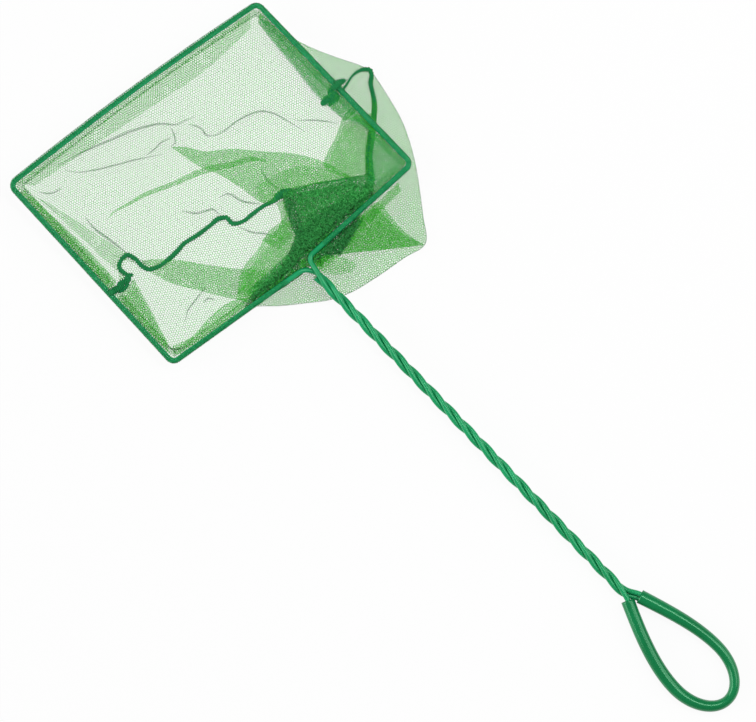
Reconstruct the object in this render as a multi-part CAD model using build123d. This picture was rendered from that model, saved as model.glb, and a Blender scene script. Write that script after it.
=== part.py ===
from build123d import *
import math
import os

# Aquarium fish net, lying on a table: a wire hoop with a soft netting bag, a handle
# twisted from three strands of the same wire, and a hanging loop sleeved in soft tube.
# Millimetres, +Z up. +X runs from the hoop along the handle to the hanging loop.
# Everything is drawn with the hoop's neck (where the hoop meets the handle) at X = 0, Y = 0
# and is moved at the end so that the origin is the middle of the finished object's base.

# Wire
wire_diameter = 2.6        # over the green coating
core_diameter = 1.9        # bare steel
core_clearance = 0.02      # radial room between the steel and its coating

# Hoop, along the middle of the wire. It is bent by hand and not quite square.
near_left_reach = 82.0     # handle axis to the near left corner
near_left_setback = 13.2   # how far that corner lies behind the neck
near_right_reach = 72.3
near_right_setback = 1.8
left_neck_setback = 1.1    # where the near left half would meet the handle's axis, behind the neck
right_neck_setback = 4.2   # where the near right half would
left_depth = 120.0         # near left corner to far left corner, along the handle
right_depth = 110.7
far_left_reach = 78.7
far_right_reach = 72.4
far_bow = 2.0              # outward bow of the far side at its middle
corner_bend = 3.5          # bend radius at the four corners
neck_span = 6.0            # length of each near half that bends into the handle
hoop_height = 9.0          # middle of the wire at the neck, above the table

# Handle
twist_start = 5.5          # where the twist begins, past the neck
twist_pitch = 38.0         # length of one full turn
twist_turns = 5            # full turns
twist_over = 260           # degrees that it turns on, until the strands lie right for parting
strand_gap = 0.08          # room between neighbouring strands

# Hanging loop, measured from the end of the twist
tube_bore = 5.8
tube_wall = 0.5
tube_play = 0.05           # room between the tube and the two wires in its right leg
left_leg_start = 7.7       # where the tube begins on each leg
left_leg_offset = 1.9
left_leg_splay = 23.0      # degrees
left_wire_rise = 1.5       # the wire enters the left leg this far above the tube's middle
right_leg_start = 10.8
right_leg_offset = 4.8
right_leg_splay = 18.5
pair_lean = 36.0           # degrees by which the two wires in the right leg lean out of its plane
loop_belly = 54.6          # where the loop is widest
loop_left_width = 15.1     # handle axis to the middle of the tube
loop_right_width = 14.9
loop_reach = 76.9          # end of the twist to the middle of the tube at the tip

# Netting
net_wall = 0.6             # netting with its crumples, as a plain skin
sleeve_clearance = 0.1     # round the wire
sleeve_wall = 0.5
hem_reach = 5.4            # wire to the free edge of the hem
hem_thickness = 0.8
rim_clearance = 0.1        # between the sleeves and the bag's top edge under them
tack_gap = 0.6             # bare wire between two sleeves at a seam end
neck_bare = 13.0           # neck to the ends of the hem sleeves

# Where the bag lies on the table
left_tuck = 12.0           # its left and far walls lean in by this much
far_tuck = 20.0
far_right_tuck = 10.0
slack = [                  # how far it spills past the hoop (along, across), from the right side on
    (1.2, 1.2),
    (5.8, 18.7),
    (0.8, 14.6),
    (4.3, 2.2),
    (16.1, -5.8),
    (35.0, 12.9),
    (25.6, 2.0),
    (-0.5, 2.9),
    (-5.8, 0.5),
]
seam_place_left = 73.6     # far left corner to the seam's end, along the hoop's left side
seam_place_right = 54.0    # near right corner to its other end, along the right side
seam_bow = 41.4            # how far the seam bows to the handle at most
seam_route = [             # share of the way from end to end, and share of the bow there
    (0.128, 0.0),
    (0.205, 0.11),
    (0.348, 0.16),
    (0.458, 0.35),
    (0.618, 0.50),
    (0.756, 0.75),
    (0.847, 1.0),
    (0.937, 0.80),
    (1.008, 0.45),
]
seam_diameter = 2.4
seam_clearance = 0.1

# Thread
stitch_length = 2.4
stitch_width = 0.5
stitch_height = 0.35
stitch_pitch = 4.0
stitch_inset = 3.3         # wire to the line of stitches
thread_clearance = 0.05
tack_length = 5.0
tack_width = 2.4
tack_height = 1.5

# Worked out from the sizes above
wire_radius = wire_diameter / 2
bore_radius = core_diameter / 2 + core_clearance
tube_radius = tube_bore / 2 + tube_wall
twist_end = twist_start + twist_pitch * (twist_turns + twist_over / 360)
tip_x = twist_end + loop_reach
tilt = math.asin((hoop_height - tube_radius) / tip_x)


def strand_spacing(radius):
    """Least distance between two of three equal helices a third of a turn apart."""
    steps = [math.radians(step / 10) for step in range(-300, 301)]
    third = math.radians(120)
    lead = twist_pitch / (2 * math.pi)
    return min(math.hypot(2 * radius * math.sin((third + s) / 2), lead * s) for s in steps)


def twist_radius_for(spacing):
    """The helix radius at which the strands lie that far apart, found by halving."""
    low = spacing / 2
    high = spacing
    for _ in range(40):
        middle = (low + high) / 2
        if strand_spacing(middle) < spacing:
            low = middle
        else:
            high = middle
    return high


twist_radius = twist_radius_for(wire_diameter + strand_gap)


# Paths. A stop is a point with the direction in which the path passes it.

def arc_or_line(start, heading, end):
    """The arc that leaves start along heading and reaches end, or a straight line."""
    chord = end - start
    if chord.cross(heading).length < 1e-7 * chord.length:
        return Line(start, end)
    return TangentArc(start, end, tangent=heading)


def biarc_stops(first, last):
    """The stop between two arcs that lead smoothly from the first stop to the last."""
    (start, out) = first
    (end, into) = last
    chord = end - start
    bend = 2 * (out.dot(into) - 1)
    pull = chord.dot(out + into)
    if abs(bend) < 1e-9:
        reach = chord.dot(chord) / (2 * pull)
    else:
        reach = (pull - math.sqrt(pull * pull - bend * chord.dot(chord))) / bend
    knee = start + out * reach
    far_knee = end - into * reach
    return ((knee + far_knee) * 0.5, (far_knee - knee).normalized())


def with_middles(stops):
    """The stops with the middle stop of each biarc put in."""
    full = [stops[0]]
    for first, last in zip(stops, stops[1:]):
        full += [biarc_stops(first, last), last]
    return full


def path_through(stops):
    """Edges of a smooth path whose neighbouring stops are each joined by one arc."""
    return [arc_or_line(a[0], a[1], b[0]) for a, b in zip(stops, stops[1:])]


def rounded_path(points, radii):
    """Edges of straight runs through the points, with an arc of its radius at each inner one."""
    edges = []
    start = points[0]
    for before, corner, after, radius in zip(points, points[1:], points[2:], radii):
        inward = (corner - before).normalized()
        onward = (after - corner).normalized()
        half_turn = math.radians(inward.get_angle(onward)) / 2
        cut = radius * math.tan(half_turn)
        edges.append(Line(start, corner - inward * cut))
        edges.append(TangentArc(corner - inward * cut, corner + onward * cut, tangent=inward))
        start = corner + onward * cut
    edges.append(Line(start, points[-1]))
    return edges


def easy_radii(points):
    """For each inner point, the largest radius that its two runs leave room for."""
    radii = []
    for before, corner, after in zip(points, points[1:], points[2:]):
        run = min((corner - before).length, (after - corner).length)
        turn = math.radians((corner - before).get_angle(after - corner))
        radii.append(0.45 * run / math.tan(turn / 2))
    return radii


def swept(edges, section):
    """A section, drawn about its own origin, carried along a path."""
    path = Wire(edges)
    place = Plane(origin=path @ 0, x_dir=(path % 0).cross(Vector(0, 0, 1)), z_dir=path % 0)
    return sweep(place * section, path=path)


def tilted(shape):
    """From the flat drawing of the wire to the way it lies, with the loop's tip on the table."""
    return Pos(0, 0, hoop_height) * Rot(0, math.degrees(tilt), 0) * shape


def lifted(x, y, above=0.0):
    """Where a point of the flat drawing comes to lie."""
    rise = above * math.cos(tilt) - x * math.sin(tilt)
    return Vector(x * math.cos(tilt) + above * math.sin(tilt), y, hoop_height + rise)


# Twisted handle

def twist_stop(x, phase):
    """Point and heading on a right-handed strand, phase in degrees at the start of the twist."""
    angle = math.radians(phase + 360 * (x - twist_start) / twist_pitch)
    slope = 2 * math.pi * twist_radius / twist_pitch
    point = Vector(x, twist_radius * math.cos(angle), twist_radius * math.sin(angle))
    heading = Vector(1, -slope * math.sin(angle), slope * math.cos(angle)).normalized()
    return (point, heading)


def twist_stops(phase):
    """Stops at equal steps of about a quarter turn along a strand, from the hoop to the loop."""
    count = 4 * twist_turns + 3
    step = (twist_end - twist_start) / count
    return [twist_stop(twist_start + step * k, phase) for k in range(count + 1)]


def turned_back(stops):
    """The same path in the other direction."""
    return [(point, heading * -1) for point, heading in reversed(stops)]


right_phase = 60           # strand that comes from the hoop's right half, over the left one
left_phase = 300           # strand that comes from its left half
return_phase = 180         # strand that comes back from the loop and is cut off

# Hanging loop

def flat_heading(degrees):
    """A direction in the plane of the hoop, turned from the handle's own."""
    return Vector(math.cos(math.radians(degrees)), math.sin(math.radians(degrees)), 0)


left_mouth = (
    Vector(twist_end + left_leg_start, -left_leg_offset, 0),
    flat_heading(-left_leg_splay),
)
right_mouth = (
    Vector(twist_end + right_leg_start, right_leg_offset, 0),
    flat_heading(180 + right_leg_splay),
)
left_belly = (Vector(twist_end + loop_belly, -loop_left_width, 0), flat_heading(0))
right_belly = (Vector(twist_end + loop_belly, loop_right_width, 0), flat_heading(180))
tip = (Vector(tip_x, 0, 0), flat_heading(90))
loop_stops = with_middles([left_mouth, left_belly, tip, right_belly, right_mouth])


def shifted_stops(stops, outward, up):
    """The stops of a path that keeps beside another, outside it in its plane and above it."""
    moved = []
    for point, heading in stops:
        side = heading.cross(Vector(0, 0, 1))
        moved.append((point + side * outward + Vector(0, 0, up), heading))
    return moved


# Two wires share the right leg: the loop's own, inside and below, and the tail of the right strand
pair_reach = tube_bore / 2 - tube_play - wire_radius
pair_side = pair_reach * math.cos(math.radians(pair_lean))
pair_rise = pair_reach * math.sin(math.radians(pair_lean))
left_wire_end = shifted_stops([left_mouth], 0, left_wire_rise)
beside_tail = shifted_stops(loop_stops[-3:], -pair_side, -pair_rise)
loop_wire_stops = with_middles([*left_wire_end, left_belly, tip, beside_tail[0]]) + beside_tail[1:]
tail_stops = turned_back(shifted_stops(loop_stops[-2:], pair_side, pair_rise))

# Hoop
corner_near_left = Vector(-near_left_setback, -near_left_reach, 0)
corner_near_right = Vector(-near_right_setback, near_right_reach, 0)
corner_far_left = Vector(-near_left_setback - left_depth, -far_left_reach, 0)
corner_far_right = Vector(-near_right_setback - right_depth, far_right_reach, 0)
left_neck = Vector(-left_neck_setback, 0, 0)
right_neck = Vector(-right_neck_setback, 0, 0)
far_side = corner_far_right - corner_far_left
far_outward = far_side.cross(Vector(0, 0, -1)).normalized()
far_middle = (corner_far_left + corner_far_right) * 0.5 + far_outward * far_bow
toward_right = (corner_near_right - right_neck).normalized()
toward_left = (corner_near_left - left_neck).normalized()

hoop_points = [
    right_neck + toward_right * neck_span,
    corner_near_right,
    corner_far_right,
    far_middle,
    corner_far_left,
    corner_near_left,
    left_neck + toward_left * neck_span,
]
bow_radius = easy_radii(hoop_points[2:5])[0]
hoop_radii = [corner_bend, corner_bend, bow_radius, corner_bend, corner_bend]
right_root = turned_back([twist_stop(twist_start, right_phase)])[0]
left_root = twist_stop(twist_start, left_phase)
hoop_path = (
    path_through(with_middles([right_root, (hoop_points[0], toward_right)]))
    + rounded_path(hoop_points, hoop_radii)
    + path_through(with_middles([(hoop_points[-1], toward_left * -1), left_root]))
)

wire_paths = {
    "hoop": hoop_path,
    "right_strand": path_through(
        with_middles(twist_stops(right_phase) + tail_stops[:1]) + tail_stops[1:]
    ),
    "left_strand": path_through(
        with_middles(twist_stops(left_phase) + turned_back(loop_wire_stops)[:1])
    ),
    "return_strand": path_through(with_middles(twist_stops(return_phase) + loop_wire_stops[:1])),
    "loop": path_through(loop_wire_stops),
}

nodes = {}
for name, path in wire_paths.items():
    nodes[name + "_wire_core"] = tilted(swept(path, Circle(core_diameter / 2)))
    coating = Circle(wire_radius) - Circle(bore_radius)
    nodes[name + "_wire_coating"] = tilted(swept(path, coating))
nodes["loop_grip_tube"] = tilted(
    swept(path_through(loop_stops), Circle(tube_radius) - Circle(tube_bore / 2))
)


# Hem sleeves: the netting's edge, folded over the wire and sewn to itself

def between(first, last, share):
    """A point on the straight line from the first to the last."""
    return first + (last - first) * share


left_side = (corner_near_left - corner_far_left).normalized()
right_side = (corner_far_right - corner_near_right).normalized()
left_tack_place = corner_far_left + left_side * seam_place_left
right_tack_place = corner_near_right + right_side * seam_place_right
sleeve_inner = wire_radius + sleeve_clearance
sleeve_outer = sleeve_inner + sleeve_wall
half_gap = tack_gap / 2

sleeve_points = {
    "far_hem_sleeve": (
        [
            left_tack_place - left_side * half_gap,
            corner_far_left,
            far_middle,
            corner_far_right,
            right_tack_place + right_side * half_gap,
        ],
        [corner_bend, bow_radius, corner_bend],
    ),
    "near_left_hem_sleeve": (
        [left_neck + toward_left * neck_bare, corner_near_left, left_tack_place + left_side * half_gap],
        [corner_bend],
    ),
    "near_right_hem_sleeve": (
        [right_tack_place - right_side * half_gap, corner_near_right, right_neck + toward_right * neck_bare],
        [corner_bend],
    ),
}


def moved_in(point, before, after, distance):
    """A point of a clockwise line, moved in by the distance from its sides to the neighbours."""
    came = (point - before).normalized()
    goes = (after - point).normalized()
    inward = (came + goes).cross(Vector(0, 0, 1)).normalized()
    return point + inward * distance / came.cross(Vector(0, 0, 1)).dot(inward)


def hem_band(points, radii):
    """The flat part of a hem, from the wire in to a free edge with square corners."""
    before_first = points[0] * 2 - points[1]
    after_last = points[-1] * 2 - points[-2]
    longer = [before_first, *points, after_last]
    free_edge = [moved_in(b, a, c, hem_reach) for a, b, c in zip(longer, longer[1:], longer[2:])]
    back = Polyline(points[-1], *reversed(free_edge), points[0])
    outline = Wire([*rounded_path(points, radii), *back.edges()])
    return extrude(make_face(outline), amount=hem_thickness / 2, both=True)


for name, (points, radii) in sleeve_points.items():
    path = rounded_path(points, radii)
    cloth = swept(path, Circle(sleeve_outer)) + hem_band(points, radii)
    nodes[name] = tilted(cloth - swept(path, Circle(sleeve_inner)))


# Bag: a plain skin from the rim under the hem down to the table, with its slack outside the hoop

def inset(points, distances):
    """A closed outline, listed clockwise, with each point moved in from its two sides."""
    before = points[-1:] + points[:-1]
    after = points[1:] + points[:1]
    return [moved_in(*corner) for corner in zip(points, before, after, distances)]


def cut_corner(corner, before, after):
    """The two points where the bend at a hoop corner begins and ends."""
    back = (before - corner).normalized() * corner_bend
    onward = (after - corner).normalized() * corner_bend
    return [corner + back, corner + onward]


def moved(points, along, across):
    """Points of the hoop's outline, moved to where the netting below them meets the table."""
    return [point + Vector(along, across, 0) for point in points]


far_left_bend = cut_corner(corner_far_left, left_tack_place, far_middle)
far_right_bend = cut_corner(corner_far_right, far_middle, right_tack_place)
near_right_bend = cut_corner(corner_near_right, right_tack_place, right_neck)
near_left_bend = cut_corner(corner_near_left, left_neck, left_tack_place)
rim_flat = [
    left_tack_place,
    *far_left_bend,
    far_middle,
    *far_right_bend,
    between(corner_far_right, right_tack_place, 0.5),
    right_tack_place,
    between(right_tack_place, corner_near_right, 0.5),
    *near_right_bend,
    between(corner_near_right, right_neck, 0.5),
    between(right_neck, left_neck, 0.5),
    between(left_neck, corner_near_left, 0.45),
    between(left_neck, corner_near_left, 0.75),
    *near_left_bend,
]
table_outline = [
    *moved([left_tack_place], 0, left_tuck),
    *moved(far_left_bend, far_tuck, left_tuck),
    *moved([far_middle], far_tuck, 0),
    *moved(far_right_bend, far_tuck, -far_right_tuck),
    *[moved([point], *reach)[0] for point, reach in zip(rim_flat[6:], slack)],
    *moved(near_left_bend, -left_tuck, left_tuck),
]
rim_below = sleeve_outer + rim_clearance
rim = [lifted(point.X, point.Y, -rim_below) for point in rim_flat]


def wall_insets(rim_points, foot_points):
    """How far the inner skin stands in from the outer one, at the rim and at the table."""
    middle = sum(foot_points, Vector(0, 0, 0)) * (1 / len(foot_points))
    at_rim = []
    at_table = []
    for top, foot in zip(rim_points, foot_points):
        run = Vector(foot.X - top.X, foot.Y - top.Y, 0)
        outward = math.copysign(1, run.dot(foot - middle))
        slant = math.hypot(run.length, top.Z)
        at_rim.append(net_wall * slant / top.Z)
        at_table.append(net_wall * (slant + outward * run.length) / top.Z)
    return (at_rim, at_table)


def skin_loft(rim_points, foot_points):
    """The closed solid between an outline at the rim and one at the table."""
    top_face = make_face(Polyline(*rim_points, close=True))
    foot_face = make_face(Polyline(*foot_points, close=True))
    return loft([foot_face, top_face], ruled=True)


(rim_insets, table_insets) = wall_insets(rim, table_outline)
inner_rim = [
    lifted(point.X, point.Y, net_wall - rim_below) for point in inset(rim_flat, rim_insets)
]
inner_foot = [point + Vector(0, 0, net_wall) for point in inset(table_outline, table_insets)]
bag_skin = skin_loft(rim, table_outline) - skin_loft(inner_rim, inner_foot)

# The two panels part along the seam, which is carried past both ends to cut the walls
seam_ground = [
    between(left_tack_place, right_tack_place, share) + Vector(seam_bow * bow, 0, 0)
    for share, bow in seam_route
]
spill_corner = moved([right_tack_place], *slack[1])[0]
reach_out = near_left_reach + near_right_reach
far_out = left_depth + right_depth
far_ground = Polyline(
    Vector(left_tack_place.X, -reach_out, 0),
    left_tack_place,
    *seam_ground,
    spill_corner,
    Vector(spill_corner.X, reach_out, 0),
    Vector(-far_out, reach_out, 0),
    Vector(-far_out, -reach_out, 0),
    close=True,
)
far_block = extrude(make_face(far_ground), amount=far_out)
nodes["far_net_panel"] = bag_skin & far_block
nodes["near_net_panel"] = bag_skin - far_block

# Overlocked seam along the bottom of the bag
seam_radius = seam_diameter / 2
seam_level = net_wall + seam_clearance + seam_radius
seam_points = [Vector(point.X, point.Y, seam_level) for point in seam_ground]
seam_edges = rounded_path(seam_points, easy_radii(seam_points))
nodes["bag_seam"] = swept(seam_edges, Circle(seam_radius))

# Hem stitches and the tacks at the seam's two ends, lying on the hem

def stitch_row(first, last):
    """Places and direction of the stitches along one straight side of the hem."""
    along = (last - first).normalized()
    inward = along.cross(Vector(0, 0, 1))
    clear = corner_bend + stitch_length
    length = (last - first).length - 2 * clear
    count = int(length / stitch_pitch)
    start = first + along * (clear + (length - count * stitch_pitch) / 2) + inward * stitch_inset
    return ([start + along * stitch_pitch * (k + 0.5) for k in range(count)], along)


stitch = Box(stitch_length, stitch_width, stitch_height)
stitch_level = hem_thickness / 2 + thread_clearance + stitch_height / 2
stitch_sides = {
    "far_hem_stitches": [
        (left_tack_place, corner_far_left),
        (corner_far_left, far_middle),
        (far_middle, corner_far_right),
        (corner_far_right, right_tack_place),
    ],
    "near_hem_stitches": [
        (right_tack_place, corner_near_right),
        (corner_near_right, right_neck + toward_right * neck_bare),
        (left_neck + toward_left * neck_bare, corner_near_left),
        (corner_near_left, left_tack_place),
    ],
}
for name, sides in stitch_sides.items():
    stitches = []
    for first, last in sides:
        places, along = stitch_row(first, last)
        turn = math.degrees(math.atan2(along.Y, along.X))
        stitches += [
            tilted(Pos(place.X, place.Y, stitch_level) * Rot(0, 0, turn) * stitch) for place in places
        ]
    nodes[name] = Compound(stitches)

tack = Box(tack_width, tack_length, tack_height)
tack = fillet(tack.edges(), tack_height / 3)
tack_level = sleeve_outer + thread_clearance + tack_height / 2
for name, place in {"left_seam_tack": left_tack_place, "right_seam_tack": right_tack_place}.items():
    nodes[name] = tilted(Pos(place.X, place.Y, tack_level) * tack)

# Origin: the middle of the object's base
box = Compound(list(nodes.values())).bounding_box()
home = Pos(-box.center().X, -box.center().Y, -box.min.Z)

os.makedirs("parts", exist_ok=True)
for name, shape in nodes.items():
    export_step(home * shape, f"parts/{name}.step")
print("overall size", [round(value, 2) for value in box.size])
print("neck lies at", [round(value, 3) for value in home.position])
print("twist radius", round(twist_radius, 3), "tilt", round(math.degrees(tilt), 3))
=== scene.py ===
# %% [markdown]
# A small aquarium net, lying flat on a table: a hoop of coated wire, a handle of three wires twisted
# together, a hanging loop in a plastic tube, and a bag of fine green netting that has flopped to one
# side. The wires come from the imported model. This lesson dresses them: it adds the netting with its
# folds, the hems, the seam, the stitches and the tube of the loop, and gives each a finish.
# The imported model is loaded first.

# %% Load the imported model
import math

import bmesh
import bpy
import numpy as np
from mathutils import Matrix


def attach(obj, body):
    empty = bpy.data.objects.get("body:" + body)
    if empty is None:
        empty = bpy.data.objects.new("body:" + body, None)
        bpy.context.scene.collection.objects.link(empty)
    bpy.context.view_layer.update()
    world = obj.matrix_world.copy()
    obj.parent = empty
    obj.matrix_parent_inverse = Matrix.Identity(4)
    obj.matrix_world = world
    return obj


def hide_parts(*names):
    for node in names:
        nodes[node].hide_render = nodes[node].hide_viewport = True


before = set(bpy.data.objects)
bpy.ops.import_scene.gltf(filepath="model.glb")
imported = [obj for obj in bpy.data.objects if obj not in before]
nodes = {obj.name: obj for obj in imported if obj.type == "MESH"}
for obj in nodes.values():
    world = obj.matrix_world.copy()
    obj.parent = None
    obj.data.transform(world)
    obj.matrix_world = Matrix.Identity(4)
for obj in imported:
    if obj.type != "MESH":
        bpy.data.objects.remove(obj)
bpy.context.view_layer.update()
scene = bpy.context.scene
scene.view_settings.view_transform = "Standard"

# %% [markdown]
# The photograph looks straight down. One scale and one turn are enough to carry a pixel of it to the
# table: the neck of the net is the fixed point, one axis runs along the handle and the other across.
# All folds of the bag are named in pixels, as one sees them, and this map lays them on the table.
# Lengths are in metres, and millimetres are written as a number times MM.

# %% From the photograph to the table
MM = 0.001
PIXEL = 0.498 * MM  # the size of one pixel on the table
NECK_PIXEL = np.array([309.8, 267.4])  # where the hoop meets the handle
NECK_PLACE = np.array([-84.256, -3.616]) * MM  # the same spot in the model
ALONG_HANDLE = np.array([0.6951, 0.7190])
ACROSS_HANDLE = np.array([0.7190, -0.6951])
IMAGE_SIZE = np.array([756, 722])


def from_neck(pixels):
    """Each pixel's step from the neck, split along and across the handle and scaled to metres."""
    step = np.asarray(pixels, float) - NECK_PIXEL
    return np.stack([step @ ALONG_HANDLE, step @ ACROSS_HANDLE], axis=-1) * PIXEL


image_centre = NECK_PLACE + from_neck(IMAGE_SIZE / 2)
print("the picture's centre on the table, mm:", np.round(image_centre / MM, 1))

# %% [markdown]
# The camera hangs over the middle of the picture, looks straight down and is turned so that the handle
# runs to the lower right. A long lens keeps the view almost parallel, as in a catalogue picture.

# %% Camera
CAMERA_HEIGHT = 3.0
VIEW_LEVEL = 7 * MM  # the height at which the scale holds

camera_data = bpy.data.cameras.new("camera")
camera = bpy.data.objects.new("camera", camera_data)
scene.collection.objects.link(camera)
camera.location = (*image_centre, CAMERA_HEIGHT)
camera.rotation_euler = (0, 0, math.atan2(ACROSS_HANDLE[0], ALONG_HANDLE[0]))
camera_data.sensor_fit = "HORIZONTAL"
picture_width = IMAGE_SIZE[0] * PIXEL
camera_data.lens = camera_data.sensor_width * (CAMERA_HEIGHT - VIEW_LEVEL) / picture_width
scene.camera = camera
print("lens:", round(camera_data.lens, 1), "mm")

# %% [markdown]
# A shader is a small graph of nodes. These helpers make a material with an empty graph, add a node with
# its settings in one line, do sums on numbers and arrows, turn a grey pattern into shades and lead a
# shader to the output, so that each finish reads as a recipe.

# %% Material helpers
ONE_NUMBER = ("LENGTH", "DOT_PRODUCT")  # sums on arrows that give a single number


def new_material(name):
    """A material with an empty node graph, under the given name."""
    material = bpy.data.materials.new(name)
    material.use_nodes = True
    material.node_tree.nodes.clear()
    return material, material.node_tree


def add_node(tree, kind, inputs=None, **settings):
    """One node: settings are its own switches; inputs are values or links, by socket name or number."""
    node = tree.nodes.new("ShaderNode" + kind)
    for key, value in settings.items():
        setattr(node, key, value)
    for key, value in (inputs or {}).items():
        if isinstance(value, bpy.types.NodeSocket):
            tree.links.new(value, node.inputs[key])
        else:
            node.inputs[key].default_value = value
    return node


def maths(tree, operation, *numbers):
    """The result of a sum on numbers, such as a product or the larger of two."""
    return add_node(tree, "Math", dict(enumerate(numbers)), operation=operation).outputs[0]


def arrow_maths(tree, operation, *arrows):
    """The result of a sum on arrows of three numbers."""
    node = add_node(tree, "VectorMath", dict(enumerate(arrows)), operation=operation)
    return node.outputs["Value" if operation in ONE_NUMBER else "Vector"]


def noise(tree, place, scale, detail, roughness=0.5):
    """Cloudy noise as a grey value: clouds to a unit of the place, finer layers, and their strength."""
    inputs = {"Vector": place, "Scale": scale, "Detail": detail, "Roughness": roughness}
    return add_node(tree, "TexNoise", inputs).outputs["Fac"]


def colour_ramp(tree, factor, low, dark, high, light):
    """Shades between two colours: dark up to the low value of the factor, light from the high one."""
    ramp = add_node(tree, "ValToRGB", {"Fac": factor})
    first, last = ramp.color_ramp.elements
    first.position, last.position = low, high
    first.color, last.color = (*dark, 1), (*light, 1)
    return ramp.outputs["Color"]


def mix(tree, share, first, second):
    """Two shaders mixed: the share is how much of the second shows."""
    return add_node(tree, "MixShader", {0: share, 1: first.outputs[0], 2: second.outputs[0]})


def show(tree, shader, output="OutputMaterial"):
    """Leads a shader to the graph's output."""
    add_node(tree, output, {"Surface": shader.outputs[0]})


print("helpers for shaders ready")

# %% [markdown]
# The table is a plain white sheet. The camera sees most of its white as light of strength one, so the
# background is white without any more light on the net, and a part of it is matt paint that keeps the
# soft shadow. The sky does the same beyond the table's edge. A ray that looks down through a dozen
# layers of netting passes many holes on its way, so the renderer is allowed that many steps.

# %% Table and sky
FLOOR_SIZE = 12.0
FLOOR_DROP = 0.2 * MM
FLOOR_GLOW = 0.93  # share of the white that ignores the shadow
FLOOR_PAINT = (0.93, 0.93, 0.93, 1)
WHITE = (1, 1, 1, 1)
SKY_LIGHT = 0.27
HOLES_IN_A_ROW = 48

scene.cycles.transparent_max_bounces = HOLES_IN_A_ROW
half = FLOOR_SIZE / 2
floor_mesh = bpy.data.meshes.new("floor")
floor_mesh.from_pydata(
    [(-half, -half, -FLOOR_DROP), (half, -half, -FLOOR_DROP),
     (half, half, -FLOOR_DROP), (-half, half, -FLOOR_DROP)], [], [(0, 1, 2, 3)])
floor = bpy.data.objects.new("floor", floor_mesh)
scene.collection.objects.link(floor)


def seen_directly(tree):
    """One for rays that carry the background to the eye: straight, mirrored or through glass."""
    path = add_node(tree, "LightPath").outputs
    first = maths(tree, "MAXIMUM", path["Is Camera Ray"], path["Is Glossy Ray"])
    return maths(tree, "MAXIMUM", first, path["Is Transmission Ray"])


floor_paint, tree = new_material("floor_white")
matt = add_node(tree, "BsdfDiffuse", {"Color": FLOOR_PAINT})
glow = add_node(tree, "Emission", {"Color": WHITE, "Strength": 1.0})
show(tree, mix(tree, maths(tree, "MULTIPLY", seen_directly(tree), FLOOR_GLOW), matt, glow))
floor_mesh.materials.append(floor_paint)

world = bpy.data.worlds.new("sky")
scene.world = world
world.use_nodes = True
tree = world.node_tree
tree.nodes.clear()
lit = add_node(tree, "Background", {"Color": WHITE, "Strength": SKY_LIGHT})
seen = add_node(tree, "Background", {"Color": WHITE, "Strength": 1.0})
show(tree, mix(tree, add_node(tree, "LightPath").outputs["Is Camera Ray"], lit, seen), "OutputWorld")
print("floor and sky made")

# %% [markdown]
# A broad lamp low on the left gives the long soft shine on the left flank of the tube, a narrow one
# overhead gives the thin bright line along its back, and a weak one on the right lifts the shadows. All
# are area lamps, because a small hard lamp would throw sharp shadows that the picture doesn't show.

# %% Lamps
LAMPS = {
    # name: (place in metres, width and length in metres, power in watts)
    "left_window": ((-1.70, -1.80, 1.00), (1.8, 2.8), 50.0),
    "overhead_strip": ((-0.05, 0.40, 1.10), (0.25, 0.9), 4.8),
    "right_fill": ((0.70, 0.95, 0.90), (1.0, 1.0), 7.0),
}


def area_lamp(name, place, size, power):
    """A rectangular lamp at a place that faces the middle of the table."""
    data = bpy.data.lights.new(name, "AREA")
    data.shape = "RECTANGLE"
    data.size, data.size_y = size
    data.energy = power
    lamp = bpy.data.objects.new(name, data)
    scene.collection.objects.link(lamp)
    lamp.location = place
    x, y, z = place
    lamp.rotation_euler = (0, -math.acos(z / math.hypot(x, y, z)), math.atan2(-y, -x))


for name, (place, size, power) in LAMPS.items():
    area_lamp(name, place, size, power)
print("lamps:", list(LAMPS))

# %% [markdown]
# The wire has a skin of green plastic. A drawn plastic skin isn't one flat colour: it is a little
# cloudy, and its surface has very shallow waves that break up the reflections. Noise on the object's
# own coordinates gives both. The steel core shows only at the cut ends of the wire.

# %% Wire coating and steel
CLOUDS, RIPPLES, STREAKS = 55.0, 260.0, 700.0  # how many to the metre
RIPPLE_DEPTH = 0.03 * MM
LEAST_GLOSS, MOST_GLOSS = 0.8, 1.25  # how the skin's roughness varies, in shares
PLASTIC_IOR = 1.45
SHINE_TINT = (0.45, 1.0, 0.65, 1)  # light comes back from just under the skin
DARK_STEEL, LIGHT_STEEL = (0.42, 0.42, 0.41), (0.62, 0.61, 0.60)


def plastic_skin(name, dark, light, roughness, shine, wave):
    """Two scales of noise: a broad one tints the colour, a fine one tilts the surface and its gloss."""
    material, tree = new_material(name)
    place = add_node(tree, "TexCoord").outputs["Object"]
    ripples = noise(tree, place, RIPPLES, 2.0)
    tint = colour_ramp(tree, noise(tree, place, CLOUDS, 4.0, 0.6), 0.3, dark, 0.7, light)
    gloss = add_node(tree, "MapRange", {"Value": ripples, "To Min": roughness * LEAST_GLOSS,
                                        "To Max": roughness * MOST_GLOSS})
    bump = add_node(tree, "Bump", {"Height": ripples, "Strength": wave, "Distance": RIPPLE_DEPTH})
    show(tree, add_node(tree, "BsdfPrincipled", {
        "Base Color": tint, "Roughness": gloss.outputs["Result"], "Normal": bump.outputs["Normal"],
        "IOR": PLASTIC_IOR, "Specular IOR Level": shine, "Specular Tint": SHINE_TINT}))
    return material


wire_skin = plastic_skin("wire_skin", (0.006, 0.300, 0.100), (0.014, 0.390, 0.145),
                         roughness=0.24, shine=0.90, wave=0.15)

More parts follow.
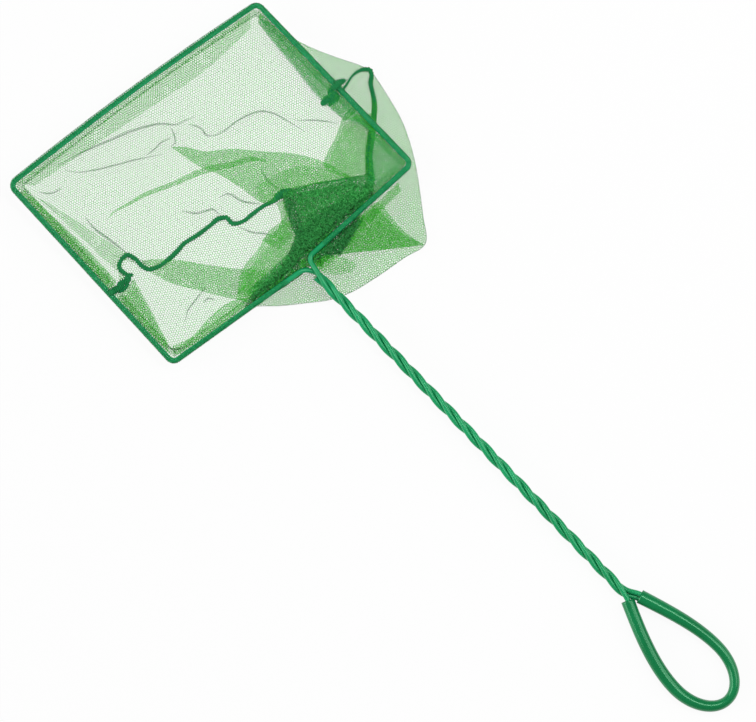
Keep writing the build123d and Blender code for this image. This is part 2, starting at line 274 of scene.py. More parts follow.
bright_steel, tree = new_material("bright_steel")
streaks = noise(tree, add_node(tree, "TexCoord").outputs["Object"], STREAKS, 3.0)
shine = add_node(tree, "MapRange", {"Value": streaks, "To Min": 0.25, "To Max": 0.45})
show(tree, add_node(tree, "BsdfPrincipled", {
    "Base Color": colour_ramp(tree, streaks, 0.3, DARK_STEEL, 0.7, LIGHT_STEEL),
    "Metallic": 1.0, "Roughness": shine.outputs["Result"]}))

for name, piece in nodes.items():
    for ending, finish in (("_wire_coating", wire_skin), ("_wire_core", bright_steel)):
        if name.endswith(ending):
            piece.data.materials.clear()
            piece.data.materials.append(finish)
print("wires finished:", sum(name.endswith("_wire_coating") for name in nodes))

# %% [markdown]
# The netting is knitted: fine green threads round small six-sided holes, about a millimetre wide.
# A million real holes would choke the file, so the cloth is a smooth surface and the holes are cut by
# its shader. For every point, the shader finds the middle of the nearest cell of a honeycomb and how
# far the point is from that cell's edge: near the edge is thread, further in is a hole.
# The pattern runs on the cloth's own map, which is in millimetres, so it bends with the folds.
# Where the cloth is heaped up, bunched or pinched into a crease, its threads are drawn together: the same
# netting gets thicker threads there, and deeper green threads that are painted shade, the shade that falls
# deep inside the heap and on the steep sides of a crease. The sleeves round the wire are deeper green as
# well.

# %% Netting finish
CELL = 1.25  # width of one hole of the netting, mm
THREAD_SHARE, BUNCHED_SHARE = 0.077, 0.12  # half the thread's width, in cells
THREAD_BLUR = 0.01
FUZZ = 0.05  # share of fine fibres that stand into the holes
SPECKLE = 0.8  # light and dark spots of the threads, per mm
STRAY, WANDER = 0.35, 1.2  # how often the rows of holes stray, per mm, and how far, in mm
NOWHERE, MIDDLE = (0.0, 0.0, 0.0), (0.5, 0.5, 0.5)
SLANT = (0.5, math.sqrt(3) / 2, 0.0)  # square to a slanted side of a hexagon
LEVEL = (1.0, 0.0, 0.0)


def honeycomb_edge(tree, place):
    """Two brick-shifted grids of cell centres; the nearer centre wins. The distance to its cell's edge
    is one half less the largest of the point's reach along the three directions of a hexagon."""
    half_step = (*SLANT[:2], 0.5)
    step = tuple(2 * part for part in half_step)
    offsets, lengths = [], []
    for shift in (NOWHERE, half_step):
        wrapped = arrow_maths(tree, "WRAP", arrow_maths(tree, "SUBTRACT", place, shift), NOWHERE, step)
        centred = arrow_maths(tree, "SUBTRACT", wrapped, half_step)
        offsets.append(arrow_maths(tree, "MULTIPLY", centred, (1.0, 1.0, 0.0)))
        lengths.append(arrow_maths(tree, "LENGTH", offsets[-1]))
    nearer = maths(tree, "LESS_THAN", lengths[1], lengths[0])
    chosen = add_node(tree, "Mix", {0: nearer, 4: offsets[0], 5: offsets[1]}, data_type="VECTOR")
    size = arrow_maths(tree, "ABSOLUTE", chosen.outputs[1])
    reaches = [arrow_maths(tree, "DOT_PRODUCT", size, direction) for direction in (SLANT, LEVEL)]
    return maths(tree, "SUBTRACT", 0.5, maths(tree, "MAXIMUM", *reaches))


def net_finish(name, dark, light, share):
    """Honeycomb threads with holes between them; one noise lets the rows stray, a finer one shades them."""
    material, tree = new_material(name)
    cloth_map = add_node(tree, "UVMap", uv_map="cloth_mm").outputs["UV"]
    stray = add_node(tree, "TexNoise", {"Vector": cloth_map, "Scale": STRAY, "Detail": 3.0})
    astray = arrow_maths(tree, "SUBTRACT", stray.outputs["Color"], MIDDLE)
    strayed = arrow_maths(tree, "MULTIPLY_ADD", astray, (WANDER, WANDER, 0.0), cloth_map)
    in_cells = arrow_maths(tree, "MULTIPLY", strayed, (1 / CELL,) * 3)
    thread = add_node(tree, "MapRange", {
        "Value": honeycomb_edge(tree, in_cells), "From Min": share - THREAD_BLUR,
        "From Max": share + THREAD_BLUR, "To Min": 1.0, "To Max": FUZZ})
    tint = colour_ramp(tree, noise(tree, cloth_map, SPECKLE, 1.0), 0.35, dark, 0.65, light)
    yarn = add_node(tree, "BsdfPrincipled", {"Base Color": tint, "Roughness": 0.7, "Specular IOR Level": 0.2})
    show(tree, mix(tree, thread.outputs["Result"], add_node(tree, "BsdfTransparent"), yarn))
    return material


netting = net_finish("netting", (0.018, 0.350, 0.010), (0.080, 0.660, 0.050), THREAD_SHARE)
# the bunched netting's deeper green is painted shade, for the creases and the darkest folds of the heap
shaded_bunched_netting = net_finish("shaded_bunched_netting", (0.003, 0.070, 0.011), (0.032, 0.330, 0.066), BUNCHED_SHARE)
# the heap netting's deeper green is painted shade, the shade deep inside the heap of cloth
shaded_heap_netting = net_finish("shaded_heap_netting", (0.008, 0.140, 0.022), (0.055, 0.500, 0.090), BUNCHED_SHARE)
hem_netting = net_finish("hem_netting", (0.004, 0.220, 0.055), (0.030, 0.390, 0.120), THREAD_SHARE)
print("netting cell:", CELL, "mm")

# %% [markdown]
# Thread is used for the seam, the tacks and the stitches. It is the same green, with fine ridges that run
# slantwise round the strand as in any twisted yarn, and it is painted darker in the grooves between the
# ridges as shade.

# %% Thread finish
PLY_SLANT = math.radians(35)
PLY_DEPTH = 0.3 * MM
FLUFF = 2.5  # per mm

thread_yarn, tree = new_material("thread_yarn")
strand_map = add_node(tree, "UVMap", uv_map="cloth_mm").outputs["UV"]
turned = add_node(tree, "Mapping", {"Vector": strand_map, "Rotation": (0, 0, PLY_SLANT)})
ply = add_node(tree, "TexWave", {"Vector": turned.outputs[0], "Scale": 0.9, "Distortion": 1.5,
                                 "Detail": 2.0, "Detail Scale": 2.0})
depth = maths(tree, "MULTIPLY", ply.outputs["Fac"], noise(tree, strand_map, FLUFF, 4.0))
bump = add_node(tree, "Bump", {"Height": depth, "Strength": 0.8, "Distance": PLY_DEPTH})
show(tree, add_node(tree, "BsdfPrincipled", {
    # the colour follows the ply's height: painted shade in the grooves, the plain green on the ridges
    "Base Color": colour_ramp(tree, depth, 0.1, (0.005, 0.190, 0.050), 0.6, (0.026, 0.420, 0.130)),
    "Roughness": 0.75, "Normal": bump.outputs["Normal"], "Specular IOR Level": 0.25}))
print("thread finish made")

# %% [markdown]
# Every new piece is one or more grids of points. A grid has rows and columns, and each small square of
# four neighbours is a face, so the faces can be numbered with plain arithmetic on whole arrays.
# This helper joins several grids into one object and stores the cloth's map in millimetres with it.
# Points that fall together, as where a tube's last column meets its first, are merged at the end.

# %% From grids to an object
SAME_POINT = 1e-6
FACE_CORNERS = 4


def grid_faces(rows, columns, first):
    """The corner numbers of each square between neighbouring rows and columns, counted from first."""
    index = first + np.arange(rows * columns).reshape(rows, columns)
    corners = [index[:-1, :-1], index[:-1, 1:], index[1:, 1:], index[1:, :-1]]
    return np.stack([c.ravel() for c in corners], axis=1)


def merge_doubles(mesh):
    """Closes seams and poles: points at the same place become one."""
    form = bmesh.new()
    form.from_mesh(mesh)
    bmesh.ops.remove_doubles(form, verts=form.verts, dist=SAME_POINT)
    form.to_mesh(mesh)
    form.free()


def object_from_grids(name, grids, maps, finishes, replaced):
    """Joins the grids' points and squares into one mesh, with each point's place on the cloth's map and
    one finish for each grid. The object rides on the body and stands for a node of the model."""
    materials = list(dict.fromkeys(finishes))
    faces, finish_numbers, first = [], [], 0
    for grid, finish in zip(grids, finishes):
        rows, columns = grid.shape[:2]
        faces.append(grid_faces(rows, columns, first))
        finish_numbers.append(np.full(len(faces[-1]), materials.index(finish)))
        first += rows * columns
    points = np.concatenate([g.reshape(-1, 3) for g in grids])
    places = np.concatenate([m.reshape(-1, 2) for m in maps])
    faces = np.concatenate(faces)
    mesh = bpy.data.meshes.new(name)
    mesh.vertices.add(len(points))
    mesh.vertices.foreach_set("co", points.ravel())
    mesh.loops.add(faces.size)
    mesh.loops.foreach_set("vertex_index", faces.ravel())
    mesh.polygons.add(len(faces))
    mesh.polygons.foreach_set("loop_start", np.arange(0, faces.size, FACE_CORNERS))
    mesh.polygons.foreach_set("loop_total", np.full(len(faces), FACE_CORNERS))
    mesh.polygons.foreach_set("use_smooth", np.full(len(faces), True))
    for material in materials:
        mesh.materials.append(material)
    mesh.polygons.foreach_set("material_index", np.concatenate(finish_numbers))
    cloth_map = mesh.uv_layers.new(name="cloth_mm")
    mesh.update(calc_edges=True)
    cloth_map.data.foreach_set("uv", places[faces.ravel()].ravel())
    merge_doubles(mesh)
    piece = bpy.data.objects.new(name, mesh)
    scene.collection.objects.link(piece)
    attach(piece, "root")
    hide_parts(replaced)
    print(name, "faces:", len(mesh.polygons))
    return piece


def thread_piece(node, parts):
    """A piece of thread that stands for a node of the model. Each part is a grid and its place on the map."""
    grids, maps = zip(*parts)
    object_from_grids(node + "_thread", grids, maps, [thread_yarn] * len(grids), node)


print("helpers for grids ready")

# %% [markdown]
# Lines are drawn through a few points that are read off the photograph. A cubic between each two points
# makes them smooth, and equal steps of length keep ribs and stitches even.

# %% Smooth lines
FINE_STEPS = 40  # steps between two points when measuring a length


def size_of(arrows):
    """The length of each arrow."""
    return np.linalg.norm(arrows, axis=-1)


def unit(arrows):
    """Each arrow made one long."""
    return arrows / size_of(arrows)[..., None]


def left_of(arrows):
    """Each level arrow turned a quarter to its left."""
    return np.stack([-arrows[..., 1], arrows[..., 0]], axis=-1)


def cubic(start, leaves, end, arrives, t):
    """A cubic from start to end, with the slopes at which it leaves and arrives. t runs from 0 to 1."""
    return (start * (2 * t**3 - 3 * t**2 + 1) + leaves * (t**3 - 2 * t**2 + t)
            + end * (3 * t**2 - 2 * t**3) + arrives * (t**3 - t**2))


def smooth_curve(points, samples):
    """A curve through the points: each stretch is a cubic, whose slope at a point follows both its
    neighbours, the nearer one more, so that it doesn't swing out at a sharp corner. samples run from 0
    at the first point to 1 at the last."""
    points = np.asarray(points, float)
    gaps = np.maximum(size_of(np.diff(points, axis=0)), SAME_POINT)
    slopes = np.gradient(points, np.concatenate([[0], np.cumsum(gaps)]), axis=0)
    place = np.asarray(samples) * (len(points) - 1)
    start = np.minimum(place.astype(int), len(points) - 2)
    gap = gaps[start][:, None]
    return cubic(points[start], slopes[start] * gap, points[start + 1], slopes[start + 1] * gap,
                 (place - start)[:, None])


def way_along(line):
    """The length of the line up to each of its points, measured in plan."""
    return np.concatenate([[0], np.cumsum(size_of(np.diff(line[:, :2], axis=0)))])


def points_at(line, shares):
    """The points at these shares of a line's length."""
    way = way_along(line)
    steps = np.asarray(shares) * way[-1]
    return np.stack([np.interp(steps, way, line[:, k]) for k in range(line.shape[1])], axis=1)


def even_curve(points, count):
    """A smooth curve through the points, at equal steps of its length."""
    fine = smooth_curve(points, np.linspace(0, 1, FINE_STEPS * len(points)))
    return points_at(fine, np.linspace(0, 1, count))


def strand_line(stops, count):
    """A smooth line and its half width, from stops that each give x, y and half the width in pixels."""
    stops = np.array(stops)
    curve = even_curve(np.column_stack([from_neck(stops[:, :2]), stops[:, 2] * PIXEL]), count)
    return curve[:, :2], curve[:, 2]


def sideways(line):
    """The level arrow across a line, to the left of its heading, at each point."""
    return unit(left_of(np.gradient(line[:, :2], axis=0)))


print("helpers for lines ready")

# %% [markdown]
# The hoop's own line is needed again and again: the hems wrap round it and the bag hangs from it. It is
# four straight sides with rounded corners, in a plane that tilts gently down to the handle. The same
# function gives the line at any inset, so the rows of a hem keep step with the wire all the way round.

# %% The hoop's line
WIRE_RADIUS = 1.3 * MM
NECK_HEIGHT = 9.0 * MM
TILT = math.radians(1.07)
CORNER_BEND = 3.5 * MM
LEAST_BEND = 1.2 * MM
FAR_BOW = 2.0 * MM
NECK_BARE = 13.0 * MM  # bare wire between the neck and a hem
LEFT_TACK_FROM_FAR = 73.6 * MM
RIGHT_TACK_FROM_NEAR = 54.0 * MM
SIDE_STEPS, BEND_STEPS = 60, 10  # points along a side and round a corner
near_left, near_right = np.array([-13.2, -82.0]) * MM, np.array([-1.8, 72.3]) * MM
far_left, far_right = np.array([-133.2, -78.7]) * MM, np.array([-112.5, 72.4]) * MM
left_neck, right_neck = np.array([-1.1, 0.0]) * MM, np.array([-4.2, 0.0]) * MM
neck = (left_neck + right_neck) / 2
hoop_middle = (near_left + near_right + far_left + far_right) / 4


def toward(start, end, distance):
    """The point at a distance from start on the line to end."""
    return start + unit(end - start) * distance


left_tack = toward(far_left, near_left, LEFT_TACK_FROM_FAR)
right_tack = toward(near_right, far_right, RIGHT_TACK_FROM_NEAR)
far_corners = [left_tack, far_left, far_right, right_tack]
near_left_corners = [left_tack, near_left, toward(left_neck, near_left, NECK_BARE)]
near_right_corners = [toward(right_neck, near_right, NECK_BARE), near_right, right_tack]


def inset_corners(corners, inset):
    """Each corner moved into the hoop, so that both of its sides move in by the inset."""
    corners = np.array(corners)
    normals = unit(left_of(np.diff(corners, axis=0)))
    normals *= np.sign(np.sum(normals * (hoop_middle - corners[:-1]), axis=1))[:, None]
    before = np.vstack([normals[:1], normals])
    after = np.vstack([normals, normals[-1:]])
    spread = 1 + np.sum(before * after, axis=1)
    return corners + (before + after) / spread[:, None] * inset


def bent_run(corners, bend, side_steps):
    """Straight sides with each inner corner rounded by an arc that touches both of its sides."""
    pieces, start = [], corners[0]
    for before, corner, after in zip(corners[:-2], corners[1:-1], corners[2:]):
        came, goes = unit(corner - before), unit(after - corner)
        turn = math.acos(np.clip(came @ goes, -1, 1))
        cut = bend * math.tan(turn / 2)
        first = corner - came * cut
        shares = np.linspace(0, 1, side_steps, endpoint=False)[:, None]
        pieces.append(start + (first - start) * shares)
        angles = np.linspace(0, turn, BEND_STEPS, endpoint=False)[:, None]
        aside = unit(goes - came * math.cos(turn))
        pieces.append(first + bend * (came * np.sin(angles) + aside * (1 - np.cos(angles))))
        start = corner + goes * cut
    shares = np.linspace(0, 1, side_steps)[:, None]
    pieces.append(start + (corners[-1] - start) * shares)
    return np.concatenate(pieces)


def hoop_line(corners, inset=0.0, side_steps=SIDE_STEPS):
    """The hoop's line over these corners at an inset. The far side is bowed a little outwards, by a
    parabola over its length."""
    line = bent_run(inset_corners(corners, inset), max(CORNER_BEND - inset, LEAST_BEND), side_steps)
    side = far_right - far_left
    share = (line - far_left) @ side / size_of(side) ** 2
    outward = unit(left_of(side))
    outward *= -np.sign(outward @ (hoop_middle - far_left))
    off_side = np.abs((line - far_left) @ outward)
    bow = np.where(off_side < inset + CORNER_BEND, 4 * FAR_BOW * share * (1 - share), 0)
    return line + np.maximum(bow, 0)[:, None] * outward


def wire_height(points):
    """The height of the wire's middle: the neck's, falling evenly along the handle, rising away from it."""
    return NECK_HEIGHT - points[..., 0] * math.sin(TILT)


def on_model(points, height):
    """Points that are measured from the neck, moved to the model's place, with their height."""
    return np.concatenate([points + NECK_PLACE, height[..., None]], axis=-1)


whole_runs = ([left_tack, near_left, left_neck], far_corners, [right_neck, near_right, right_tack])
whole_hoop = np.concatenate([hoop_line(corners) for corners in whole_runs])
print("hoop line points:", len(whole_hoop))

# %% [markdown]
# Fine creases cross the loose cloth. Each is named by its line on the photograph and its width in the
# middle. They are used twice: the cloth rises in a low ridge under each, which shades it softly, and
# later a narrow fold lies on that ridge, which draws its dark line.

# %% Lines of the creases
CREASES = {
    # name: (line in pixels, width in mm at its middle, panel)
    "rim": ([(56, 167), (79, 154), (112, 139), (140, 128), (161, 123.5), (177, 124), (187, 119), (195, 116)],
            0.9, "far"),
    "rim_tail": ([(188, 123.5), (202, 129), (206, 135), (210.5, 136)], 0.6, "far"),
    "hook": ([(170.5, 127), (174, 135), (175, 142), (170.5, 146.6)], 0.6, "far"),
    "upper": ([(64.5, 170), (76, 172), (91, 170.5), (112, 165.6), (133, 160), (164, 153.6)], 0.6, "far"),
    "upper_branch": ([(146, 155), (153, 150), (160, 143), (171, 137)], 0.6, "far"),
    "small_left": ([(39, 192), (48, 193.6), (56, 191.5), (62, 186.6)], 0.6, "far"),
    "middle": ([(200, 130), (211, 135.5), (223, 131), (235, 122), (246, 115.6), (260, 111), (272, 112.5),
                (286, 120), (295, 125), (306, 132)], 0.7, "far"),
    "side": ([(296, 120), (316, 120), (338, 123)], 0.6, "far"),
    "left": ([(85, 217), (92, 226), (110, 240), (129, 255)], 0.9, "far"),
    "seam_foot": ([(181, 210.5), (196, 213), (208, 210), (212, 209), (220, 215)], 0.8, "far"),
    "fan": ([(218, 197.5), (227.6, 193.6), (241, 200.5), (261, 204)], 0.8, "far"),
    "patch": ([(260, 168), (267, 179), (279.6, 190)], 0.8, "far"),
    "seam_fan": ([(237, 226), (252, 232), (268, 234), (283, 240)], 0.7, "near"),
    "low": ([(185, 321), (188, 310), (197, 298), (206, 286)], 0.6, "near"),
    "low_hook": ([(203, 302.5), (208, 298.6), (215.5, 300)], 0.6, "near"),
    "corner": ([(163.5, 345), (173, 349), (185, 347), (194, 339)], 0.8, "near"),
}
CREASE_POINTS = 40
crease_lines = {name: even_curve(from_neck(line), CREASE_POINTS) for name, (line, _, _) in CREASES.items()}
print("creases:", len(crease_lines))

# %% [markdown]
# The netting hangs from the wire and soon lies on the table. How high it is at any spot depends on how
# far the spot is from the wire that carries it: at the wire it is just below it, and it sinks to the
# table over some fifteen millimetres. Slow waves keep the cloth on the table from looking ironed.

# %% How the cloth lies
GROUND = 0.45 * MM  # lowest the cloth lies over the table
HANG_REACH = 15.0 * MM
HANG_SHAPE = 1.5  # above one, the cloth leaves the wire level before it sinks
HANG_BELOW = 1.5 * MM  # the cloth leaves the wire this far under its middle
WAVE_HEIGHT = 1.1 * MM
RIDGE_HEIGHT, RIDGE_REACH = 1.8 * MM, 2.4 * MM
WAVES = [
    # waves along x and along y in radians per mm, start in radians, size
    (0.23, 0.11, 0.0, 1.0), (-0.07, 0.17, 1.3, 1.0), (0.31, -0.27, 2.1, 1.0), (0.35, 0.41, 0.4, 0.6)]
CHUNK = 40  # points of a line that are compared at once
PAST_FAR_RIGHT, PAST_NEAR_LEFT, LEFT_OF_NECK = 6 * MM, 40 * MM, 45 * MM  # where the carrying wires end


def nearest(points, line):
    """For each point, the distance to the nearest point of a line, and that point's share of it."""
    flat = points.reshape(-1, 2)
    distance = np.full(len(flat), np.inf)
    share = np.zeros(len(flat))
    for start in range(0, len(line), CHUNK):
        gaps = size_of(flat[:, None, :] - line[None, start:start + CHUNK, :])
        closest = gaps.argmin(axis=1)
        gap = gaps.min(axis=1)
        nearer = gap < distance
        distance[nearer] = gap[nearer]
        share[nearer] = (start + closest[nearer]) / (len(line) - 1)
    shape = points.shape[:-1]
    return distance.reshape(shape), share.reshape(shape)


def slow_waves(points):
    """A sum of sine waves in several directions and lengths, between zero and one."""
    x, y = points[..., 0] / MM, points[..., 1] / MM
    total = sum(size * np.sin(a * x + b * y + start) for a, b, start, size in WAVES)
    return 0.5 + 0.5 * total / sum(size for *_, size in WAVES)


def ridges(points):
    """Near each crease the cloth rises as a bell over the distance, which fades to the crease's ends."""
    height = np.zeros(points.shape[:-1])
    for line in crease_lines.values():
        distance, share = nearest(points, line)
        fade = np.sqrt(np.clip(np.sin(np.pi * share), 0, 1))
        height = np.maximum(height, RIDGE_HEIGHT * fade * np.exp(-(distance / RIDGE_REACH) ** 2))
    return height


def lie(points, carried_by, above=0.0, reach=HANG_REACH):
    """Table height plus waves, ridges and layer, lifted near the wire that carries this cloth. The lift
    is e to the power of less the distance, in reaches, raised to the hang's shape."""
    ground = GROUND + WAVE_HEIGHT * slow_waves(points) + ridges(points) + above
    if carried_by is None:
        return ground
    edge = wire_height(points) - HANG_BELOW + above
    distance, _ = nearest(points, carried_by)
    return ground + (edge - ground) * np.exp(-(distance / reach) ** HANG_SHAPE)


carriers = {
    None: None,
    "far": hoop_line([left_tack, far_left, far_right, toward(far_right, right_tack, PAST_FAR_RIGHT)]),
    "near": hoop_line([left_tack, near_left, toward(near_left, neck, PAST_NEAR_LEFT)]),
    "right": hoop_line([toward(neck, near_left, LEFT_OF_NECK), neck, near_right, far_right]),
}
print("carrying lines:", list(carriers))

# %% [markdown]
# The seam joins the two panels of the bag. On the photograph it runs in from the left side, crosses the
# hoop to the right, dips under the dark heap of cloth towards the neck and back, and climbs over the
# right side to the second tack. It is fat where it lies on top and thin where it is pulled tight.

# %% The seam's line
SEAM = [
    # x and y in pixels, then half its width in pixels
    (131, 277, 2.0), (124, 273, 2.3), (119, 267, 2.2), (121, 260, 2.0), (127, 255, 2.4), (134, 258, 2.2),
    (142, 266, 2.5), (147, 269, 2.2), (157, 267, 2.1), (166, 261, 2.4), (176, 252, 2.6), (183, 244, 2.2),
    (197, 235, 2.4), (209, 226, 2.1), (220, 218, 2.6), (226, 217.5, 2.2), (232, 223, 2.5), (243, 221, 2.0),
    (252, 214, 2.3), (263, 206, 2.1), (274, 200, 2.8), (280, 195, 4.4), (288, 192, 4.2), (295, 191, 1.5),
    (310, 184.4, 0.9), (327, 181.4, 0.9), (338, 180, 1.0), (348.5, 178.3, 1.3), (352, 181, 1.0),
    (353, 195, 0.6), (349, 215, 0.5), (342, 236, 0.5), (338, 248, 0.5), (341, 248, 0.5), (347, 238, 0.5),
    (354, 222, 0.7), (361, 205, 1.6), (366, 190, 3.2), (370.5, 182, 4.0), (370, 173, 4.2), (369, 156, 4.0),
    (371, 138, 4.0), (373.5, 119, 3.2), (374.5, 104, 2.8), (372.5, 92, 2.4), (370.5, 82, 2.4),
    (371.5, 74, 2.2), (370, 69.8, 2.3), (364, 69, 2.2), (358, 71, 1.6), (352, 76, 1.3), (347, 84, 1.3),
    (341, 93, 1.5),
]
SEAM_POINTS = 1100
seam_line, seam_half = strand_line(SEAM, SEAM_POINTS)
print("seam length:", round(way_along(seam_line)[-1] / MM), "mm")

# %% [markdown]
# Each panel of the bag starts as one base sheet, ruled between the line that carries it and the seam:
# pairs of stations on the two lines are joined by straight threads. Where the bag has flopped over the
# side of the hoop, the base sheet runs on under the wire to the outer fold, and a second sheet comes
# back from that fold to the wire. That is how the cloth is doubled there and single inside. Both panels
# share the stations on the seam, so no gap opens between them.

# %% Base sheets of the bag
SEAM_STATIONS = [(131, 277), (119, 267), (127, 255), (142, 266), (157, 267), (166, 261), (176, 252),
                 (183, 244), (197, 235), (209, 226), (220, 218), (232, 223), (252, 214), (274, 200),
                 (288, 192), (310, 184.4), (338, 180), (352, 180), (366, 186), (370, 173), (369, 156),
                 (373, 119), (374, 104), (371, 83), (371, 70)]
FAR_SHARES = [0, 0.05, 0.11, 0.17, 0.23, 0.28, 0.33, 0.38, 0.44, 0.50, 0.56, 0.62, 0.69, 0.76, 0.83, 0.90,
              0.95, 0.985]
FAR_OUTER = [(258, 12), (276, 27), (304, 44), (322.5, 52), (345, 60), (360, 65), (371, 70)]
NEAR_SHARES = [0, 0.06, 0.12, 0.20, 0.30, 0.42, 0.54, 0.68, 0.82, 0.95]
NEAR_OUTER = [(246, 307), (261, 306), (280, 305.5), (304, 303), (332, 299), (349, 293), (377, 276.5),
              (405, 257), (425, 244), (423, 216), (420.5, 196), (414, 158), (402, 121), (386, 93), (371, 70)]
FAR_RETURN_SHARES = [0, 0.18, 0.40, 0.58, 0.78, 0.90, 1]
NEAR_RETURN_SHARES = [0, 0.05, 0.11, 0.17, 0.23, 0.28, 0.39, 0.51, 0.60, 0.64, 0.67, 0.72, 0.83, 0.92, 1]
EDGE_INSET = 0.8 * MM
BASE_ROWS, BASE_COLUMNS = 301, 100
RETURN_ROWS, RETURN_COLUMNS = 169, 30
RETURN_LIFT = 0.3 * MM
RETURN_REACH = 6.0 * MM  # outside the hoop the cloth sinks sooner
BASE_LEFT_OF_NECK, RETURN_LEFT_OF_NECK = 33 * MM, 38 * MM  # where the near sheets' edges end or start


def ruled(first, second, rows, columns):
    """Points on straight threads between paired stations of two lines: rows run along the lines."""
    shares = np.linspace(0, 1, rows)
    a, b = smooth_curve(first, shares), smooth_curve(second, shares)
    t = np.linspace(0, 1, columns)[None, :, None]
    return a[:, None, :] * (1 - t) + b[:, None, :] * t


def cloth_place(points, turn):
    """The cloth's map: the plan in millimetres, turned by an angle that differs from layer to layer."""
    c, s = math.cos(math.radians(turn)), math.sin(math.radians(turn))
    x, y = points[..., 0] / MM, points[..., 1] / MM
    return np.stack([c * x + s * y, c * y - s * x], axis=-1)


def unrolled(points):
    """The cloth's map of a strip: the way along its first column and the way across, in millimetres."""
    steps = size_of(np.diff(points, axis=1))
    across = np.concatenate([np.zeros((len(points), 1)), np.cumsum(steps, axis=1)], axis=1)
    along = np.broadcast_to(way_along(points[:, 0])[:, None], across.shape)
    return np.stack([along, across], axis=-1) / MM


near_edge_corners = [left_tack, near_left, toward(neck, near_left, BASE_LEFT_OF_NECK)]
near_return_corners = [toward(neck, near_left, RETURN_LEFT_OF_NECK), neck, near_right, right_tack]
BASE_SHEETS = (
    # panel, corners of its edge, shares of that edge, outer fold, turn of the weave in degrees
    ("far", far_corners[:3], FAR_SHARES, FAR_OUTER, 12),
    ("near", near_edge_corners, NEAR_SHARES, NEAR_OUTER, 57))
RETURN_SHEETS = (
    # the same for the sheets that come back from the outer fold
    ("far", [far_right, right_tack], FAR_RETURN_SHARES, FAR_OUTER, 33),
    ("near", near_return_corners, NEAR_RETURN_SHARES, NEAR_OUTER, 80))

panels = {"far": [], "near": []}  # sheets: points, their places on the cloth's map, finish
shared_edge = from_neck(SEAM_STATIONS)
for panel, corners, shares, outer, turn in BASE_SHEETS:
    stations = np.concatenate([points_at(hoop_line(corners, EDGE_INSET), shares), from_neck(outer)])
    plan = ruled(stations, shared_edge, BASE_ROWS, BASE_COLUMNS)
    points = on_model(plan, lie(plan, carriers[panel]))
    panels[panel].append((points, cloth_place(plan, turn), netting))
for panel, corners, shares, outer, turn in RETURN_SHEETS:
    plan = ruled(points_at(hoop_line(corners), shares), from_neck(outer), RETURN_ROWS, RETURN_COLUMNS)
    points = on_model(plan, lie(plan, carriers["right"], RETURN_LIFT, RETURN_REACH))
    panels[panel].append((points, cloth_place(plan, turn), netting))
print("base sheets:", len(panels["far"]), len(panels["near"]))

# %% [markdown]
# The slack of the bag lies in folds. In a fold the cloth runs to and fro between two edges, each pass on
# top of the last. Seen from above, that is why a fold looks darker, with one sharp side. Each fold is
# named by its two edges and by how often the cloth passes between them.

